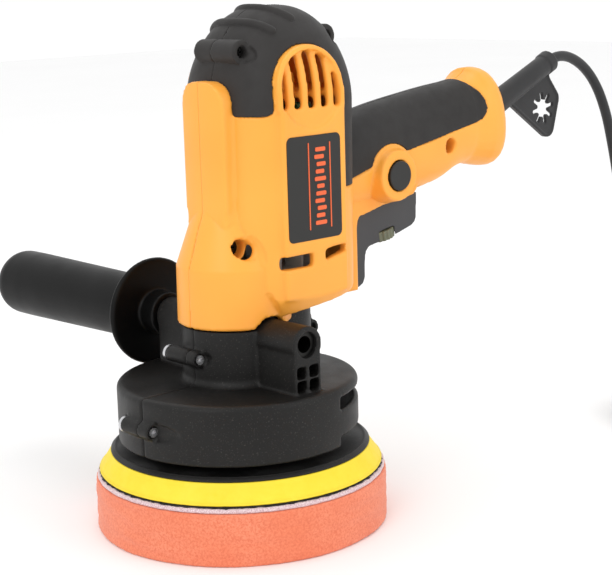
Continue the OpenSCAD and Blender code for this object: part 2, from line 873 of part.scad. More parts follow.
module armature_core() {
    slots = 12;
    color("gray") at_motor() translate([0, 0, stack_z]) difference() {
        cylinder(r = armature_r, h = stack_h);
        translate([0, 0, -1]) cylinder(r = 5.05, h = stack_h + 2);
        for (i = [0 : slots - 1]) rotate([0, 0, i * 360 / slots])
            translate([armature_r, 0, stack_h / 2]) cube([7, 2.2, stack_h + 2], center = true);
    }
}

module armature_coils() {
    color("peru") at_motor() for (z = [stack_z - 6.5, stack_z + stack_h + 0.1])
        translate([0, 0, z]) tube(5.05, 15.5, 6.4);
}

module commutator() {
    bars = 24;
    color("goldenrod") at_motor() translate([0, 0, 200]) difference() {
        union() {
            cylinder(r = 10.6, h = 15);
            cylinder(r = 12, h = 2.5);
        }
        translate([0, 0, -1]) cylinder(r = 5.05, h = 20);
        for (i = [0 : bars - 1]) rotate([0, 0, i * 360 / bars])
            translate([10.6, 0, 9]) cube([1.6, 0.4, 14], center = true);
    }
}

module armature_shaft() {
    color("silver") at_motor() {
        translate([0, 0, 111]) cylinder(r = 5, h = 107);
        translate([0, 0, 217.9]) cylinder(r = 4, h = 10);
        translate([0, 0, gear_z - 0.5]) spur(pinion_teeth, gear_w + 1, 180 / pinion_teeth);
        translate([0, 0, gear_z + gear_w]) cylinder(r = 4.2, h = 5);
    }
}

module cooling_fan() {
    hub_h = 12;
    color("lightgray") at_motor() translate([0, 0, 130.5]) difference() {
        union() {
            cylinder(r = 9, h = hub_h);
            cylinder(r = 28, h = 1.8);
            for (i = [0 : fan_blades - 1]) rotate([0, 0, i * 360 / fan_blades])
                translate([17, -0.7, 1]) rotate([0, 0, 20]) cube([11, 1.4, hub_h - 1]);
        }
        translate([0, 0, -1]) cylinder(r = 5.05, h = hub_h + 2);
        translate([0, 0, -1]) tube(28.3, 40, 20);
    }
}

module brush_holders() {
    color([0.35, 0.25, 0.18]) both_sides() translate([motor_x, 0, 209]) difference() {
        translate([-4.5, -29, -5]) cube([9, 16, 10]);
        translate([-3.3, -30, -3.1]) cube([6.6, 20, 6.2]);
    }
}

module carbon_brushes() {
    color([0.12, 0.12, 0.12]) both_sides() translate([motor_x, 0, 209])
        translate([-3.1, -22, -2.9]) cube([6.2, 11.1, 5.8]);
}

module brush_springs() {
    turns = 4;
    color("silver") both_sides() for (i = [0 : turns - 1])
        translate([motor_x, -22.8 - i * 1.7, 209]) rotate([90, 0, 0])
            rotate_extrude() translate([2, 0]) circle(r = 0.45);
    color("silver") both_sides() ycyl(motor_x + 2, 209, -28.4, -22.4, 0.4);
}

// ---------- switch, trigger and rear handle contents ----------

dial_at = [102.6, 136.1];
dial_tilt = 10.5;
dial_r = 10;
dial_w = 5.5;

module at_dial() { translate([dial_at[0], 0, dial_at[1]]) rotate([0, -dial_tilt, 0]) children(); }

module trigger() {
    color([0.29, 0.29, 0.3]) difference() {
        union() {
            yslab(-trigger_hw, trigger_hw) {
                polygon([[69.5, 112.4], [80.6, 110.4], [83.6, 112], [85, 114.6], [85.6, 126.4], [86.6, 129.4],
                    [88.8, 131.4], [111.2, 135.6], [122, 138.6], [124.6, 140.4], [125.8, 143], [126.2, 156.6],
                    [88, 156.6], [81.4, 150], [79.2, 143], [78.6, 122], [76.6, 119], [70, 119]]);
                translate(pivot) circle(r = 3.6);
            }
        }
        ycyl(pivot[0], pivot[1], -20, 20, 1.55);
        at_dial() translate([0, 0, -3.4]) cylinder(r = dial_r + 0.35, h = dial_w + 1);
        at_dial() cylinder(r = 2.05, h = 9);
    }
}

module trigger_pin() { color("silver") ycyl(pivot[0], pivot[1], -10.8, 10.8, 1.5); }

module speed_dial() {
    ribs = 22;
    color([0.5, 0.53, 0.45]) at_dial() {
        translate([0, 0, 1]) cylinder(r = 2, h = 7.5);
        translate([0, 0, -2.9]) difference() {
            cylinder(r = dial_r, h = dial_w);
            for (i = [0 : ribs - 1]) rotate([0, 0, i * 360 / ribs])
                translate([dial_r, 0, dial_w / 2]) cube([1.4, 1.3, dial_w + 2], center = true);
        }
    }
}

module lock_button() {
    color([0.2, 0.2, 0.2]) {
        ycyl(lock_pos[0], lock_pos[1], -25.8, -17, 7.9);
        ycyl(lock_pos[0], lock_pos[1], -17.1, -12, 3);
    }
}

module lock_spring() {
    color("silver") for (i = [0 : 3]) translate([lock_pos[0], -13.6 + i * 1.0, lock_pos[1]])
        rotate([90, 0, 0]) rotate_extrude() translate([4.6, 0]) circle(r = 0.45, $fn = 16);
    color("silver") ycyl(lock_pos[0] + 4.6, lock_pos[1], -13.8, -10.4, 0.4);
}

module switch_body() {
    color([0.15, 0.15, 0.17]) {
        translate([104, -7, 163]) cube([30, 14, 24]);
        translate([107, -6, 187]) cube([6, 12, 2.9]);
        translate([91, -9.3, 163]) cube([14, 2.3, 13]);
    }
}

module speed_board() {
    color([0.1, 0.35, 0.2]) translate([76, -11, 190]) cube([36, 22, 1.6]);
    color([0.2, 0.2, 0.2]) translate([80, -6, 191.6]) cube([14, 12, 6]);
}

module suppressor() { color([0.85, 0.75, 0.2]) translate([118, -8, 192]) cube([18, 16, 9]); }

clamp_w = 29;

module cord_clamp() {
    color([0.2, 0.2, 0.2]) at_relief() difference() {
        for (x = [-cord_r - 3.05, cord_r + 0.05]) translate([x, -8.5, -clamp_w - 4]) cube([3, 17, 8]);
        for (y = [-5.8, 5.8]) translate([-10, y, -clamp_w]) rotate([0, 90, 0]) cylinder(r = 1.4, h = 20);
    }
}

module clamp_screws() {
    color("silver") at_relief() for (y = [-5.8, 5.8]) translate([0, y, -clamp_w]) rotate([0, 90, 0]) {
        translate([0, 0, -cord_r - 3.1]) cylinder(r = 1.3, h = 2 * cord_r + 6);
        translate([0, 0, -cord_r - 5]) cylinder(r = 2.4, h = 1.95);
    }
}

// ---------- cord ----------

module at_relief() { translate(relief_from) rotate([0, 90 - relief_tilt, 0]) children(); }
relief_len = 69;

module strain_relief() {
    tail = 14;
    color([0.17, 0.17, 0.17]) difference() {
        union() {
            at_relief() {
                translate([0, 0, -tail]) cylinder(r = 7, h = tail + 10);
                translate([0, 0, -tail]) cylinder(r = 9.4, h = 3);
                translate([0, 0, 9.9]) cylinder(r1 = 7, r2 = 6, h = relief_len - 14);
                translate([0, 0, relief_len - 6]) cylinder(r = 6.7, h = 6);
            }
            key_fin();
        }
        at_relief() translate([0, 0, -tail - 1]) cylinder(r = cord_r + 0.02, h = relief_len + tail + 2);
    }
}

// Outline of the flat web, drawn in by g
module fin_outline(g) {
    low = [250.2, 181.2];
    rear = [255, 197.5];
    polygon([[209, 203], [217.5 + 0.57 * g, 195.7 + 0.82 * g], low + (6.2 - g) * [-0.565, -0.825],
        low + (6.2 - g) * [0.982, -0.19], rear + (6 - g) * [0.982, -0.19], rear + (6 - g) * [0.77, 0.64],
        [252.4 - g, 210], [249, 217]]);
    translate(low) circle(r = 6.2 - g);
    translate(rear) circle(r = 6 - g);
}

// Flat web under the strain relief with a star hole that holds the pad key
module key_fin() {
    star = 8;
    difference() {
        yslab(-1.8, 1.8) fin_outline(0);
        both_sides() yslab(-3, -1.1) fin_outline(1.6);
        yslab(-3, 3) translate([246.4, 192.6]) union() {
            circle(r = 5.1);
            for (i = [0 : star - 1]) rotate(i * 360 / star + 12) translate([0, -1.15]) square([9.6, 2.3]);
        }
    }
}

// Points on a smooth curve through the route
function spline(p, i, t) =
    let (n = len(p) - 1, a = p[max(i - 1, 0)], b = p[i], c = p[min(i + 1, n)], d = p[min(i + 2, n)])
    0.5 * (2 * b + (c - a) * t + (2 * a - 5 * b + 4 * c - d) * t * t + (3 * b - a - 3 * c + d) * t * t * t);
function fine(p, k) = concat([for (i = [0 : len(p) - 2], j = [0 : k - 1]) spline(p, i, j / k)], [p[len(p) - 1]]);
function unit(v) = v / norm(v);
function heading(p, i) = unit(p[min(i + 1, len(p) - 1)] - p[max(i - 1, 0)]);

// Round tube along a route, with eight sides
module sweep(p, r) {
    loft([for (i = [0 : len(p) - 1])
        let (t = heading(p, i), s = unit(cross(t, [0.05, 1, 0.1])), u = cross(t, s))
        [for (k = [0 : 7]) p[i] + r * (cos(k * 45) * s + sin(k * 45) * u)]]);
}

module cord_inner() {
    color([0.15, 0.15, 0.15]) at_relief() translate([0, 0, -38]) cylinder(r = cord_r, h = 38 + relief_len - 3.4);
}

module cord_lead() { color([0.15, 0.15, 0.15]) sweep(fine(lead_route, 2), cord_r); }

module cord_coil() {
    edge = 2.5;
    color([0.15, 0.15, 0.15]) translate([coil_x, coil_y, 0]) rotate_extrude($fn = 72) {
        translate([coil_in + edge, 0]) square([coil_out - coil_in - 2 * edge, coil_h]);
        translate([coil_in, edge]) square([coil_out - coil_in, coil_h - 2 * edge]);
        for (x = [coil_in + edge, coil_out - edge], z = [edge, coil_h - edge]) translate([x, z]) circle(r = edge);
    }
}

module coil_tie() {
    color([0.1, 0.1, 0.1]) translate([coil_x, coil_y, 0]) rotate([0, 0, 200]) translate([0, -3, 0]) difference() {
        translate([coil_in - 1.5, 0, 0]) cube([coil_out - coil_in + 3, 6, coil_h + 1.2]);
        translate([coil_in - 0.3, -1, -1]) cube([coil_out - coil_in + 0.6, 8, coil_h + 1.03]);
    }
}

tail_route = [[289.2, -113.3, 13], [284.6, -114.1, 11.9], [274, -116.4, 8.7], [262, -118, 6.7],
    [250, -118.5, 6.5]];
plug_at = [252, -118.5, 6.5];

module cord_tail() { color([0.15, 0.15, 0.15]) sweep(fine(tail_route, 3), cord_r); }

module plug_body() {
    color([0.14, 0.14, 0.14]) translate(plug_at) rotate([0, -90, 0]) difference() {
        union() {
            cylinder(r1 = 4.6, r2 = 6, h = 18);
            translate([-6.5, -11, 18]) cube([13, 22, 16]);
        }
        translate([0, 0, -1]) cylinder(r = cord_r + 0.02, h = 4);
    }
}

module plug_pins() {
    color("silver") translate(plug_at) rotate([0, -90, 0])
        for (s = [-1, 1]) translate([0, s * 8, 34]) cylinder(r = 2, h = 18);
}

housing_left();
housing_right();
overmold_left();
overmold_right();
nameplate_left();
nameplate_right();
housing_screws();
shroud_left();
shroud_right();
clamp_bolts();
clamp_nuts();
thread_inserts();
side_grip();
side_stud();
gearcase();
bearing_bracket();
spindle_bearing_low();
spindle_bearing_top();
motor_bearing_low();
motor_bearing_top();
stator_core();
field_coils();
brush_holders();
carbon_brushes();
brush_springs();
armature_core();
armature_coils();
commutator();
armature_shaft();
cooling_fan();
spindle();
spindle_gear();
eccentric();
counterweight();
pad_bearing();
pad_shaft();
pad_bolt();
plate_cap();
backing_plate();
hook_layer();
foam_pad();
trigger();
trigger_pin();
speed_dial();
lock_button();
lock_spring();
switch_body();
speed_board();
suppressor();
cord_clamp();
clamp_screws();
strain_relief();
cord_inner();
cord_lead();
cord_coil();
coil_tie();
cord_tail();
plug_body();
plug_pins();
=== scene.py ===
"""Looks of the dual-action polisher: moulded shells, soft grips, foam pad, lead, stage, light and camera."""

import json
import math

import bmesh
import bpy
import numpy as np
from mathutils import Matrix, Vector


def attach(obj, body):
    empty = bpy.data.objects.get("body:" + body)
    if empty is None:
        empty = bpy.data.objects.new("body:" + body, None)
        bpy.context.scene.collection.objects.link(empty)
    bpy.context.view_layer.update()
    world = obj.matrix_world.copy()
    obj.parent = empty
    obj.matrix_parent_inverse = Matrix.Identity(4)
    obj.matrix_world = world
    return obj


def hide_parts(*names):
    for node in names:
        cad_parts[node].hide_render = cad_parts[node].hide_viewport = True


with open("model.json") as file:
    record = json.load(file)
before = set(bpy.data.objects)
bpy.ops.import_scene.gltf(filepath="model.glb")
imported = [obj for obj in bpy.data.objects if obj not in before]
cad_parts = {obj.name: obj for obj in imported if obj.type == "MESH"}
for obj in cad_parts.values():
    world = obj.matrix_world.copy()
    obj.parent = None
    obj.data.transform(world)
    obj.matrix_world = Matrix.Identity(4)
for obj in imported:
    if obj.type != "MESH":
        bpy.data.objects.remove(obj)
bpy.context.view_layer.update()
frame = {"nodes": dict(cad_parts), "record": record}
NODES = frame["nodes"]
RECORD = frame["record"]
BODY_OF = {n: body for body, names in RECORD["behaviour"]["bodies"].items() for n in names}
SLOT_OF = {s["node"]: s["material_slot"] for s in RECORD["subparts"]}
MM = 0.001

# Sizes in millimetres, the same as in the CAD source
PAD_AXIS = (2.828, 2.828)
PAD_R, FOAM_T, HOOK_T, PLATE_T = 75.0, 26.5, 3.4, 9.8
PLATE_Z = FOAM_T + HOOK_T
CAP_Z = PLATE_Z + PLATE_T
BARREL_X, BARREL_HX, BARREL_HY, CROWN = 26.0, 38.4, 36.0, 0.88
DOME_Z, DOME_H = 215.0, 46.5
BELLY_Z, LEAN = 118.0, 2.8
NECK_Z, NECK_R = 105.5, 29.0
STRIP_X, STRIP_R = 37.0, 55.2
HANDLE_ROWS = np.array([
    (50, 176, 22.5, 20), (80, 178.2, 25, 20), (100, 180.9, 26.3, 19.6), (125, 184, 26.9, 19),
    (145, 187, 26.4, 18.6), (160, 190.6, 24.2, 18.4), (169, 192, 24, 18.6)], float)
PLATE_AT, PLATE_SIZE = (6.4, 147.0), (36.0, 52.0)
ARCH_X, ARCH_Z, ARCH_R, VENT_Z, RIM_CROWN = 25.0, 221.0, 22.0, 212.0, 0.5
CORD_D = 6.2
LEAD_ROUTE = [
    (250, 0, 219), (256, 0, 221.4), (263, 0, 222.6), (271, 0, 221.8), (279, 0, 219),
    (287, 0, 214.5), (295, 0, 207.8), (302, 0, 199.3), (307.5, 0, 190), (312, 0, 180),
    (315.4, -0.5, 168), (318, -1.5, 155), (320, -3, 140), (322, -5, 122), (324, -8, 104),
    (327, -12, 84), (331, -17, 64), (336, -24, 44), (341, -33, 26), (346, -44, 12), (349.2, -56, 5)]
TAIL_ROUTE = [
    (297, -112, 14.8), (285, -114, 12), (274, -116.4, 8.7), (262, -118, 6.7), (250, -118.5, 6.5)]
COIL_AT, COIL_MID = (309.0, -70.0), 35.0


# ---------- materials ----------

def srgb(r, g, b):
    """Linear colour of 0-255 screen values."""
    parts = (v / 255 for v in (r, g, b))
    return tuple(c / 12.92 if c <= 0.04045 else ((c + 0.055) / 1.055) ** 2.4 for c in parts)


class Surface:
    """A procedural material built on one Principled shader."""

    def __init__(self, name, roughness=0.5, metallic=0.0, specular=0.5, sheen=0.0):
        self.mat = bpy.data.materials.new(name)
        self.mat.use_nodes = True
        self.nodes, self.links = self.mat.node_tree.nodes, self.mat.node_tree.links
        self.shader = self.nodes["Principled BSDF"]
        for socket, value in (("Roughness", roughness), ("Metallic", metallic),
                              ("Specular IOR Level", specular), ("Sheen Weight", sheen)):
            self.shader.inputs[socket].default_value = value
        self.place = self.nodes.new("ShaderNodeTexCoord").outputs["Object"]
        self.normal = None

    def noise(self, scale, detail=3.0, roughness=0.55, stretch=None):
        node = self.nodes.new("ShaderNodeTexNoise")
        node.inputs["Scale"].default_value = scale
        node.inputs["Detail"].default_value = detail
        node.inputs["Roughness"].default_value = roughness
        source = self.place
        if stretch:
            mapping = self.nodes.new("ShaderNodeMapping")
            mapping.inputs["Scale"].default_value = stretch
            self.links.new(source, mapping.inputs["Vector"])
            source = mapping.outputs["Vector"]
        self.links.new(source, node.inputs["Vector"])
        return node.outputs["Fac"]

    def cells(self, scale):
        node = self.nodes.new("ShaderNodeTexVoronoi")
        node.inputs["Scale"].default_value = scale
        self.links.new(self.place, node.inputs["Vector"])
        return node.outputs["Distance"]

    def ranged(self, value, low, high, to_low=0.0, to_high=1.0):
        node = self.nodes.new("ShaderNodeMapRange")
        for socket, number in (("From Min", low), ("From Max", high),
                               ("To Min", to_low), ("To Max", to_high)):
            node.inputs[socket].default_value = number
        self.links.new(value, node.inputs["Value"])
        return node.outputs["Result"]

    def mix(self, factor, a, b):
        node = self.nodes.new("ShaderNodeMix")
        node.data_type = "RGBA"
        self.links.new(factor, node.inputs["Factor"])
        for socket, colour in ((node.inputs["A"], a), (node.inputs["B"], b)):
            if isinstance(colour, tuple):
                socket.default_value = (*colour, 1)
            else:
                self.links.new(colour, socket)
        return node.outputs["Result"]

    def colour(self, source):
        self.links.new(source, self.shader.inputs["Base Color"])

    def rough(self, value, low, high):
        self.links.new(self.ranged(value, 0.3, 0.7, low, high), self.shader.inputs["Roughness"])

    def bump(self, height, strength, distance_mm):
        node = self.nodes.new("ShaderNodeBump")
        node.inputs["Strength"].default_value = strength
        node.inputs["Distance"].default_value = distance_mm * MM
        self.links.new(height, node.inputs["Height"])
        if self.normal:
            self.links.new(self.normal, node.inputs["Normal"])
        self.normal = node.outputs["Normal"]
        self.links.new(self.normal, self.shader.inputs["Normal"])


def moulded_plastic(name, light, dark, rough=(0.32, 0.42), grain=1500.0, depth=0.02, speck=None,
                    specular=0.45):
    """Hard plastic with a fine moulded grain, and specks of a second colour where given."""
    s = Surface(name, specular=specular)
    base = s.mix(s.ranged(s.noise(14, 2), 0.35, 0.65), dark, light)
    fine = s.noise(grain, 4, 0.6)
    if speck:
        base = s.mix(s.ranged(s.noise(grain * 1.3, 2, 0.5), 0.62, 0.72), base, speck)
    s.colour(base)
    s.rough(s.noise(45, 4), *rough)
    s.bump(fine, 0.5, depth)
    return s.mat


def soft_rubber(name, light, dark, rough=(0.55, 0.68), depth=0.035):
    """Matt elastomer with a very fine pebbled skin."""
    s = Surface(name, specular=0.3, sheen=0.05)
    s.colour(s.mix(s.ranged(s.noise(22, 4), 0.35, 0.65), dark, light))
    s.rough(s.noise(160, 3), *rough)
    s.bump(s.cells(2400), 0.45, depth)
    return s.mat


def metal(name, light, dark, rough=(0.22, 0.4), grain=900.0, stretch=(1, 1, 8), metallic=1.0, depth=0.01):
    """Metal with a drawn or cast grain."""
    s = Surface(name, metallic=metallic)
    s.colour(s.mix(s.ranged(s.noise(60, 4), 0.3, 0.7), dark, light))
    s.rough(s.noise(grain, 3, stretch=stretch), *rough)
    s.bump(s.noise(grain, 3, stretch=stretch), 0.4, depth)
    return s.mat


def foam_material():
    s = Surface("foam_open_cell", roughness=0.95, specular=0.12, sheen=0.25)
    pores = s.ranged(s.noise(900, 5, 0.7), 0.36, 0.6)
    wide = s.mix(s.ranged(s.noise(30, 3), 0.3, 0.7), srgb(235, 132, 97), srgb(243, 149, 116))
    s.colour(s.mix(pores, srgb(224, 118, 86), wide))
    s.bump(s.noise(700, 6, 0.75), 0.8, 0.35)
    return s.mat


def pile_material():
    s = Surface("hook_pile", roughness=0.9, specular=0.15, sheen=0.4)
    s.colour(s.mix(s.ranged(s.noise(1600, 3, 0.7), 0.38, 0.62), srgb(196, 160, 166), srgb(238, 220, 222)))
    s.bump(s.noise(1900, 3, 0.7), 0.9, 0.3)
    return s.mat


def yellow_material():
    s = Surface("cushion_yellow", specular=0.35)
    s.colour(s.mix(s.ranged(s.noise(70, 6, 0.65), 0.3, 0.7), srgb(240, 211, 44), srgb(246, 220, 60)))
    s.rough(s.noise(260, 4), 0.5, 0.66)
    s.bump(s.noise(480, 5, 0.7), 0.5, 0.08)
    return s.mat


def board_material():
    s = Surface("laminate", specular=0.4)
    s.colour(s.mix(s.ranged(s.cells(400), 0.2, 0.6), srgb(24, 62, 34), srgb(60, 96, 52)))
    s.rough(s.noise(200, 3), 0.4, 0.55)
    s.bump(s.cells(400), 0.3, 0.05)
    return s.mat


def copper_material():
    s = Surface("wound_copper", metallic=0.85)
    strands = s.ranged(s.noise(500, 3, stretch=(1, 1, 6)), 0.35, 0.65)
    s.colour(s.mix(strands, srgb(150, 74, 34), srgb(214, 128, 74)))
    s.rough(s.noise(300, 3), 0.3, 0.5)
    s.bump(s.noise(900, 2, stretch=(0.3, 0.3, 3)), 0.7, 0.15)
    return s.mat


MATERIALS = {
    "shell": moulded_plastic("orange_shell", srgb(251, 172, 66), srgb(247, 163, 57), (0.36, 0.46), 1700,
                             0.012),
    "softgrip": soft_rubber("soft_overmould", srgb(44, 42, 41), srgb(37, 35, 34)),
    "nylon": moulded_plastic("black_nylon", srgb(23, 22, 21), srgb(17, 16, 15), (0.4, 0.54), 1100, 0.06,
                             srgb(56, 54, 51), specular=0.27),
    "grip": moulded_plastic("grip_plastic", srgb(13, 13, 13), srgb(9, 9, 9), (0.36, 0.46), 1100, 0.04,
                            specular=0.14),
    "label": moulded_plastic("label_film", srgb(31, 30, 28), srgb(26, 25, 23), (0.42, 0.5), 1800, 0.008),
    "trigger": moulded_plastic("trigger_plastic", srgb(66, 66, 68), srgb(58, 58, 60), (0.45, 0.55), 1400,
                               0.03),
    "dial": moulded_plastic("dial_plastic", srgb(132, 134, 112), srgb(96, 100, 80), (0.3, 0.42), 800, 0.03),
    # Dark steel; on the housing screws this darkness is painted shade of the recess they sit in
    "blackened": metal("blackened_steel_and_recess_shade", srgb(62, 61, 60), srgb(40, 40, 39), (0.3, 0.5), depth=0.02),
    "cushion": yellow_material(),
    "hook": pile_material(),
    "foam": foam_material(),
    "steel": metal("zinc_steel", (0.75, 0.75, 0.76), (0.55, 0.55, 0.57)),
    "alloy": metal("cast_alloy", (0.72, 0.73, 0.74), (0.55, 0.56, 0.57), (0.4, 0.55), 500, (1, 1, 1),
                   depth=0.05),
    "lamination": metal("stacked_sheet", (0.32, 0.32, 0.34), (0.2, 0.2, 0.22), (0.35, 0.5), 2000,
                        (0.05, 0.05, 3), 0.9, 0.1),
    "copper": copper_material(),
    "fan": moulded_plastic("fan_plastic", srgb(176, 176, 170), srgb(150, 150, 146), (0.4, 0.5)),
    "board": board_material(),
    "cable": soft_rubber("cable_rubber", srgb(44, 44, 45), srgb(36, 36, 37), (0.42, 0.52), 0.02),
}
# Finishes that differ from the record's material slot. The housing screws take the dark blackened finish as
# painted shade of the recess they sit in.
LOOK_OF = {"nameplate_left": "label", "nameplate_right": "label", "housing_screws": "blackened"}
for node, slot in SLOT_OF.items():
    NODES[node].data.materials.clear()
    NODES[node].data.materials.append(MATERIALS[LOOK_OF.get(node, slot)])


def place(obj, node=None, slot=None, body=None, look=None):
    """Puts a finished piece in the scene: on its body, standing for its CAD node, with its finish."""
    obj.data.materials.clear()
    obj.data.materials.append(MATERIALS[look or slot or SLOT_OF[node]])
    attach(obj, body or BODY_OF[node])
    if node:
        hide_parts(node)
    return obj


# ---------- geometry helpers ----------

def new_object(name, verts, faces, smooth=True):
    mesh = bpy.data.meshes.new(name)
    mesh.from_pydata([tuple(v) for v in verts], [], faces)
    mesh.polygons.foreach_set("use_smooth", [smooth] * len(mesh.polygons))
    mesh.update()
    obj = bpy.data.objects.new(name, mesh)
    bpy.context.collection.objects.link(obj)
    return obj


def points_of(mesh):
    flat = np.empty(len(mesh.vertices) * 3)
    mesh.vertices.foreach_get("co", flat)
    return flat.reshape(-1, 3) / MM


def set_points(mesh, p):
    mesh.vertices.foreach_set("co", (p * MM).ravel())
    mesh.update()


def tube(path, radii, sides):
    """Vertices and faces of a capped round tube along a path given in millimetres."""
    path = np.array(path, float)
    ahead = np.gradient(path, axis=0)
    ahead /= np.linalg.norm(ahead, axis=1)[:, None]
    verts, side = [], np.cross(ahead[0], (0.03, 1.0, 0.07))
    for p, t, r in zip(path, ahead, np.broadcast_to(radii, len(path))):
        side = side - t * side.dot(t)
        side /= np.linalg.norm(side)
        up = np.cross(t, side)
        verts += [p + r * (math.cos(a) * side + math.sin(a) * up)
                  for a in (2 * math.pi * k / sides for k in range(sides))]
    faces = []
    for j in range(len(path) - 1):
        low, high = j * sides, (j + 1) * sides
        faces += [(low + k, low + (k + 1) % sides, high + (k + 1) % sides, high + k) for k in range(sides)]
    faces += [tuple(reversed(range(sides))), tuple(range((len(path) - 1) * sides, len(path) * sides))]
    return np.array(verts) * MM, faces


def lathe(name, profile, centre, steps, ripple=None):
    """Solid of revolution of (radius, height) points. Points at radius 0 close it."""
    verts, rings = [], []
    for r, h in profile:
        ring = []
        for k in range(1 if r == 0 else steps):
            a = 2 * math.pi * k / steps
            rr = r + (ripple(a, r, h) if ripple and r else 0)
            ring.append(len(verts))
            verts.append((centre[0] + rr * math.cos(a), centre[1] + rr * math.sin(a), h))
        rings.append(ring)
    faces = []
    for a, b in zip(rings, rings[1:]):
        for k in range(steps):
            n = (k + 1) % steps
            quad = [a[k % len(a)], a[n % len(a)], b[n % len(b)], b[k % len(b)]]
            quad = list(dict.fromkeys(quad))
            if len(quad) > 2:
                faces.append(tuple(quad))
    return new_object(name, np.array(verts) * MM, faces)


def arc(cx, cy, r, start, end, steps):
    """Points of an arc in a profile, angles in degrees."""
    return [(cx + r * math.cos(math.radians(a)), cy + r * math.sin(math.radians(a)))
            for a in np.linspace(start, end, steps)]


def spline(points, steps):
    """Smooth curve through given points."""
    p = np.array(points, float)
    p = np.vstack([2 * p[0] - p[1], p, 2 * p[-1] - p[-2]])
    out = []
    for a, b, c, d in zip(p, p[1:], p[2:], p[3:]):
        for t in np.arange(steps) / steps:
            out.append(0.5 * (2 * b + (c - a) * t + (2 * a - 5 * b + 4 * c - d) * t * t
                              + (3 * b - a - 3 * c + d) * t ** 3))
    return out + [p[-2]]


# ---------- moulded shells: softened copies of the CAD solids ----------

def superoval(u, v, a, b, power):
    return (np.abs(u / a) ** power + np.abs(v / b) ** power) ** (1 / power)


def eased(x, xs, ys):
    """Smooth curve through rows of numbers."""
    slope = np.gradient(ys, xs)
    k = np.clip(np.searchsorted(xs, x) - 1, 0, len(xs) - 2)
    w = xs[k + 1] - xs[k]
    t = np.clip((x - xs[k]) / w, 0, 1)
    return ((1 + 2 * t) * (1 - t) ** 2 * ys[k] + t * (1 - t) ** 2 * w * slope[k]
            + t * t * (3 - 2 * t) * ys[k + 1] - t * t * (1 - t) * w * slope[k + 1])


# Each level function gives every point's place against one true surface, 0 on it, and where that counts.

def barrel_level(p):
    x, y, z = p.T
    rise = np.clip((z - DOME_Z) / DOME_H, 0, 0.9995)
    size = 1 - CROWN * (1 - np.sqrt(1 - rise ** 2))
    lean = LEAN * np.clip((z - BELLY_Z) / (DOME_Z + DOME_H - BELLY_Z), 0, 1)
    flat_side = (np.abs(y) > 35.2) & (x > 2.5) & (x < 48) & (z < 224)
    level = superoval(x - BARREL_X - lean, y, BARREL_HX * size, BARREL_HY * size, 3 - 0.6 * rise) - 1
    return level, (z > 119) & ~flat_side


def handle_level(p):
    x, y, z = p.T
    mid, tall, wide = (eased(x, HANDLE_ROWS[:, 0], HANDLE_ROWS[:, k]) for k in (1, 2, 3))
    return superoval(z - mid, y, tall, wide, 2.3) - 1, (x > 63) & (x < 166)


def neck_level(p):
    x, y, z = p.T
    r = np.where(z < 135, NECK_R - 0.4 * (z - NECK_Z) / 29.5, NECK_R - 0.4 - 10 * (z - 135) / 28)
    return np.hypot(x, y) - r, (z > NECK_Z + 0.8) & (z < 158) & (x < 14)


def strip_level(p):
    x, y, z = p.T
    return np.hypot(x - STRIP_X, y) - STRIP_R, (x < -13) & (z > 152) & (np.abs(y) < 13)


def settle(p, levels, reach):
    """Moves points that lie within reach of a true surface onto it."""
    for level in levels:
        for _ in range(2):
            value, wanted = level(p)
            slope = np.stack([(level(p + step)[0] - level(p - step)[0]) / 0.1
                              for step in np.eye(3) * 0.05], axis=1)
            size = np.sum(slope ** 2, axis=1) + 1e-12
            near = wanted & (np.abs(value) < reach * np.sqrt(size))
            p[near] -= (value[near] / size[near])[:, None] * slope[near]
    return p


def moulded(node, voxel, rounds, levels=(), reach=0.5, extras=(), soften=None, look=None):
    """A copy of a CAD solid with the small radii of a moulding."""
    work = bmesh.new()
    for source in (NODES[node], *extras):
        work.from_mesh(source.data)
    mesh = bpy.data.meshes.new(node + "_moulded")
    work.to_mesh(mesh)
    work.free()
    for extra in extras:
        bpy.data.objects.remove(extra)
    obj = bpy.data.objects.new(node + "_moulded", mesh)
    bpy.context.collection.objects.link(obj)
    cells = obj.modifiers.new("cells", "REMESH")
    cells.mode = "VOXEL"
    cells.voxel_size = voxel * MM
    smooth = obj.modifiers.new("radii", "SMOOTH")
    smooth.factor = 0.5
    smooth.iterations = rounds
    bake(obj)
    if soften:
        weight = soften(points_of(obj.data))
        group = obj.vertex_groups.new(name="blend")
        for step in (0.25, 0.5, 0.75, 1.0):
            picked = np.nonzero((weight > step - 0.25) & (weight <= step))[0]
            if len(picked):
                group.add(picked.tolist(), step, "REPLACE")
        blend = obj.modifiers.new("blend", "SMOOTH")
        blend.factor, blend.iterations, blend.vertex_group = 0.6, 45, "blend"
        bake(obj)
        obj.vertex_groups.clear()
    if levels:
        set_points(obj.data, settle(points_of(obj.data), levels, reach))
    obj.data.polygons.foreach_set("use_smooth", [True] * len(obj.data.polygons))
    return place(obj, node, look=look)


def bake(obj):
    """Applies an object's modifiers to its mesh."""
    graph = bpy.context.evaluated_depsgraph_get()
    mesh = bpy.data.meshes.new_from_object(obj.evaluated_get(graph))
    obj.modifiers.clear()
    obj.data = mesh


def shoulder(p):
    """How much each point belongs to the blend between the barrel and the gear neck."""
    x, y, z = p.T
    curve = np.abs(np.hypot(x + 28, z - 137) - 25)
    near = np.clip(1 - curve / 7, 0, 1) * (z < 163) * (z > 112) * (np.abs(y) > 13)
    return near


def dome_point(x, side_y):
    """Height of the dome over x, y."""
    low, high = DOME_Z, DOME_Z + DOME_H
    for _ in range(30):
        z = (low + high) / 2
        if barrel_level(np.array([[x, side_y, z]]))[0][0] < 0:
            low = z
        else:
            high = z
    return low


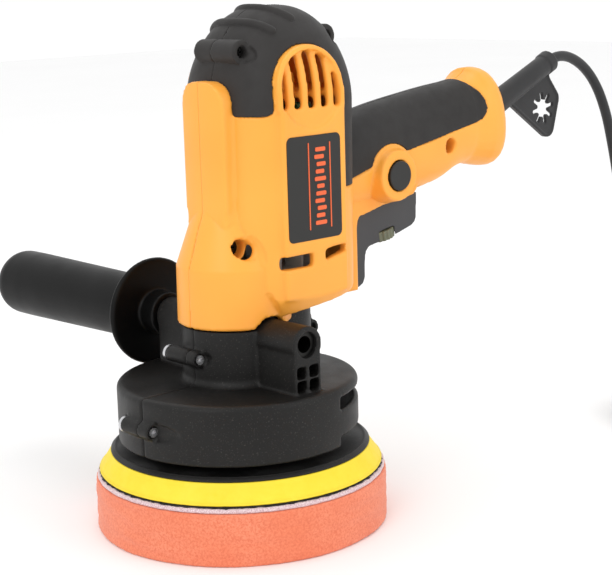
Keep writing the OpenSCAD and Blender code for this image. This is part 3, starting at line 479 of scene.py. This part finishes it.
def dome_rib(name, ends, side):
    """Raised rubber bar across one half of the dome, fading into it."""
    (x0, y0), (x1, y1) = ends
    path = []
    for t in np.linspace(-0.04, 1, 26):
        x = x0 + (x1 - x0) * abs(t) ** 2.2
        y = side * (y0 + (y1 - y0) * t)
        path.append((x, y, dome_point(x, y) - 0.6))
    radii = [2.5] * 24 + [2.4, 1.7]
    return new_object(name, *tube(path, radii, 12))


def window_rim(name, side):
    """Rounded bead that carries the side panel's face on round the air window."""
    reach = ARCH_R - 1.5
    outline = [(ARCH_X - reach, VENT_Z), (ARCH_X - reach, (VENT_Z + ARCH_Z) / 2)]
    outline += arc(ARCH_X, ARCH_Z, reach, 180, 0, 25)
    outline += [(ARCH_X + reach, (VENT_Z + ARCH_Z) / 2), (ARCH_X + reach, VENT_Z)]
    path = []
    for x, z in outline:
        rise = max(0.0, (z - DOME_Z) / DOME_H)
        face = (BARREL_HY + 0.1) * (1 - RIM_CROWN * (1 - math.sqrt(1 - rise ** 2)))
        path.append((x, side * (face - 2.1), z))
    return new_object(name, *tube(path, 1.6, 14))


shell_levels = (barrel_level, handle_level, neck_level, strip_level)
for side, name in ((1, "left"), (-1, "right")):
    moulded("housing_" + name, 0.95, 4, shell_levels, 0.45, extras=[window_rim("rim_" + name, side)],
            soften=shoulder)
    ribs = [dome_rib(f"rib_{name}_{k}", ends, side)
            for k, ends in enumerate((((6, 0), (12.5, 23)), ((18, 0), (27, 21))))]
    moulded("overmold_" + name, 0.62, 3, (barrel_level, handle_level), 0.35, extras=ribs)
    moulded("shroud_" + name, 0.8, 3)
for node, voxel, rounds, look in (("trigger", 0.5, 4, None), ("speed_dial", 0.35, 2, None),
                                  ("lock_button", 0.35, 4, "label"), ("strain_relief", 0.5, 3, None),
                                  ("plug_body", 0.5, 5, None), ("coil_tie", 0.4, 2, None),
                                  ("gearcase", 0.8, 3, None), ("side_grip", 0.9, 3, "grip")):
    moulded(node, voxel, rounds, look=look)


# ---------- pad ----------

def wobble(seed, amount, waves):
    """Small irregular radius change round a turned piece."""
    rng = np.random.default_rng(seed)
    terms = [(int(k), amount * rng.normal() / math.sqrt(len(waves)), rng.uniform(0, 6.28)) for k in waves]
    return lambda a, r, h: sum(m * math.sin(k * a + p + h * 0.7) for k, m, p in terms)


foam_profile = ([(0, 0)] + [(r, 0) for r in np.linspace(6, PAD_R - 2.2, 14)]
                + arc(PAD_R - 1.6, 1.6, 1.6, -70, 0, 5)
                + [(PAD_R + 0.12 * math.sin(h), h) for h in np.linspace(3, FOAM_T - 2.4, 14)]
                + arc(PAD_R - 1.2, FOAM_T - 1.2, 1.2, 0, 80, 4)
                + [(r, FOAM_T) for r in (60, 30)] + [(0, FOAM_T)])
foam = lathe("foam_disc", foam_profile, PAD_AXIS, steps=288,
             ripple=wobble(3, 0.22, (2, 3, 5, 9, 23, 41, 67, 90)))
place(foam, "foam_pad")

pile_profile = ([(0, FOAM_T)] + [(PAD_R - 2.2, FOAM_T)] + arc(PAD_R - 1.9, FOAM_T + 1.2, 1.15, -80, 70, 7)
                + [(PAD_R - 3.4, FOAM_T + 2.35), (0, FOAM_T + 2.35)])
pile = lathe("hook_pile_disc", pile_profile, PAD_AXIS, steps=360,
             ripple=wobble(5, 0.2, (3, 7, 31, 58, 77, 113, 151)))
place(pile, "hook_layer")
fringe_profile = ([(0, FOAM_T + 2.35), (PAD_R - 3.0, FOAM_T + 2.35)]
                  + arc(PAD_R - 2.5, FOAM_T + 2.85, 0.5, -60, 60, 4)
                  + [(PAD_R - 3.2, PLATE_Z), (0, PLATE_Z)])
fringe = lathe("hook_fringe", fringe_profile, PAD_AXIS, steps=420,
               ripple=wobble(8, 0.34, (17, 43, 71, 97, 131, 167, 199)))
place(fringe, "hook_layer", slot="nylon")

plate_profile = ([(7.3, PLATE_Z + 0.02), (PAD_R - 2.9, PLATE_Z + 0.02)]
                 + arc(PAD_R - 2.75, PLATE_Z + 0.75, 0.73, -90, 30, 6)
                 + [(PAD_R - 2.6 - 5.0 * t, PLATE_Z + 1.2 + 7.6 * t) for t in np.linspace(0, 1, 8)]
                 + arc(PAD_R - 8.5, CAP_Z - 0.9, 0.85, 30, 90, 5)
                 + [(20, CAP_Z - 0.02), (7.3, CAP_Z - 0.02), (7.3, PLATE_Z + 0.02)])
plate = lathe("cushion_plate", plate_profile, PAD_AXIS, steps=256, ripple=wobble(11, 0.08, (2, 5, 11, 37)))
place(plate, "backing_plate")

cap_profile = ([(17.1, CAP_Z), (PAD_R - 8.6, CAP_Z)] + arc(PAD_R - 8.7, CAP_Z + 0.5, 0.5, -60, 60, 5)
               + [(PAD_R - 9.6, CAP_Z + 1.9)] + arc(PAD_R - 10.4, CAP_Z + 1.75, 0.62, 20, 160, 6)
               + [(PAD_R - 11.8, CAP_Z + 1.3), (42.3, CAP_Z + 1.2), (41.6, CAP_Z + 4.2), (41, CAP_Z + 4.48),
                  (17.1, CAP_Z + 4.48), (17.1, CAP_Z)])
cap = lathe("cap_disc", cap_profile, PAD_AXIS, steps=256)
place(cap, "plate_cap")


# ---------- nameplates ----------

def rounded_bar(x0, x1, z0, z1, y0, y1, r):
    """Upright plaque bar with rounded corners in x and z."""
    outline = []
    for cx, cz, start in ((x1 - r, z1 - r, 0), (x0 + r, z1 - r, 90),
                          (x0 + r, z0 + r, 180), (x1 - r, z0 + r, 270)):
        outline += arc(cx, cz, r, start, start + 90, 5)
    n = len(outline)
    verts = [(x, y, z) for y in (y0, y1) for x, z in outline]
    faces = [tuple(range(n)), tuple(reversed(range(n, 2 * n)))]
    faces += [(k, k + n, (k + 1) % n + n, (k + 1) % n) for k in range(n)]
    return verts, faces


MATERIALS["motif"] = moulded_plastic("motif_ink", srgb(238, 106, 54), srgb(228, 94, 46), (0.4, 0.5), 1500,
                                     0.01)
# Two thin lines and a ladder of rungs, as shares of the plate's width and height
RUNG_PITCH, RUNG_TALL, RUNGS = 0.07, 0.04, 11
bars = [(0.385, 0.10, 0.395, 0.93), (0.785, 0.10, 0.795, 0.92)]
for k in range(RUNGS):
    low = 0.14 + RUNG_PITCH * k
    bars.append((0.5 + 0.02 * (k % 3), low, 0.70 - 0.03 * (k % 2), low + RUNG_TALL))
for side, name in ((1, "left"), (-1, "right")):
    verts, faces = [], []
    px, pz = PLATE_AT
    for x0, z0, x1, z1 in bars:
        y = side * (BARREL_HY - 0.12)
        v, f = rounded_bar(px + x0 * PLATE_SIZE[0], px + x1 * PLATE_SIZE[0] + 0.3, pz + z0 * PLATE_SIZE[1],
                           pz + z1 * PLATE_SIZE[1], y, y + side * 0.22, 0.25 if x1 - x0 < 0.03 else 0.7)
        faces += [tuple(i + len(verts) for i in (face if side < 0 else reversed(face))) for face in f]
        verts += v
    place(new_object("motif_" + name, np.array(verts) * MM, faces, False),
          slot="shell", body="machine", look="motif")


# ---------- cord ----------

def coil_points():
    """Turns of the coil, from the lead's last point to the tail, a diameter apart."""
    turns = [(COIL_MID + CORD_D, 0), (COIL_MID, 0), (COIL_MID - CORD_D, 0),
             (COIL_MID - CORD_D, 1), (COIL_MID, 1), (COIL_MID + CORD_D, 1), (COIL_MID + CORD_D, 2),
             (COIL_MID + CORD_D, 2)]
    steps, out = 32, []
    for k in range(int(7.25 * steps)):
        turn, part = divmod(k / steps, 1)
        a, b = turns[int(turn)], turns[int(turn) + 1] if turn < 7 else turns[7]
        t = max(0.0, (part - 0.86) / 0.14)
        t = t * t * (3 - 2 * t)
        r = a[0] + (b[0] - a[0]) * t
        z = CORD_D * (0.5 + a[1] + (b[1] - a[1]) * t)
        angle = -2 * math.pi * k / steps
        out.append((COIL_AT[0] + r * math.cos(angle), COIL_AT[1] + r * math.sin(angle), z))
    return out


route = spline(LEAD_ROUTE + coil_points()[:1], 5)[:-1] + coil_points()
last = (COIL_AT[0], COIL_AT[1] - COIL_MID - CORD_D, 2.5 * CORD_D)
route += spline([last] + TAIL_ROUTE, 5)
cord_mesh, cord_faces = tube(route, CORD_D / 2, 14)
cord = new_object("mains_cord", cord_mesh, cord_faces)
place(cord, "cord_lead")
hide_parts("cord_coil", "cord_tail")
path = [tuple(np.array(p) * MM) for p in route]
cord_length = float(sum(np.linalg.norm(np.array(a) - np.array(b)) for a, b in zip(path, path[1:])))
print("cord length", cord_length)


# ---------- stage, light, camera ----------

floor = new_object("floor", [(-4, -4, 0), (4, -4, 0), (4, 4, 0), (-4, 4, 0)], [(0, 1, 2, 3)], False)
floor_surface = Surface("pale_floor", roughness=0.8, specular=0.2)
floor_surface.colour(floor_surface.mix(floor_surface.noise(3, 2), (0.93, 0.93, 0.93), (0.96, 0.96, 0.96)))
floor.data.materials.append(floor_surface.mat)

world = bpy.data.worlds.new("studio")
bpy.context.scene.world = world
world.use_nodes = True
world.node_tree.nodes["Background"].inputs["Color"].default_value = (1, 1, 1, 1)
world.node_tree.nodes["Background"].inputs["Strength"].default_value = 1.02

SUBJECT = Vector((0.06, 0.0, 0.13))


def softbox(name, at, size, power):
    light = bpy.data.lights.new(name, "AREA")
    light.energy, light.size = power, size
    obj = bpy.data.objects.new(name, light)
    obj.location = at
    obj.rotation_euler = (SUBJECT - Vector(at)).to_track_quat("-Z", "Y").to_euler()
    bpy.context.collection.objects.link(obj)


softbox("key", (-1.5, -0.6, 1.3), 0.9, 7)
softbox("fill", (0.6, -1.7, 0.9), 1.2, 4)
softbox("top", (0.1, 0.3, 1.9), 1.0, 4)

CAMERA_AT = Vector((-0.4929, -0.5899, 0.2786))
LOOKS_ALONG = Vector((0.6630, 0.7211, -0.2012)).normalized()
ROLL = math.radians(-1.66)
camera = bpy.data.objects.new("camera", bpy.data.cameras.new("camera"))
camera.data.sensor_width = 36
camera.data.lens = 91.2
camera.data.clip_start, camera.data.clip_end = 0.05, 20
right = LOOKS_ALONG.cross(Vector((0, 0, 1))).normalized()
up = right.cross(LOOKS_ALONG)
right, up = right * math.cos(ROLL) + up * math.sin(ROLL), up * math.cos(ROLL) - right * math.sin(ROLL)
camera.matrix_world = Matrix.Translation(CAMERA_AT) @ Matrix((right, up, -LOOKS_ALONG)).transposed().to_4x4()
bpy.context.collection.objects.link(camera)
bpy.context.scene.camera = camera
bpy.context.scene.view_settings.view_transform = "Standard"
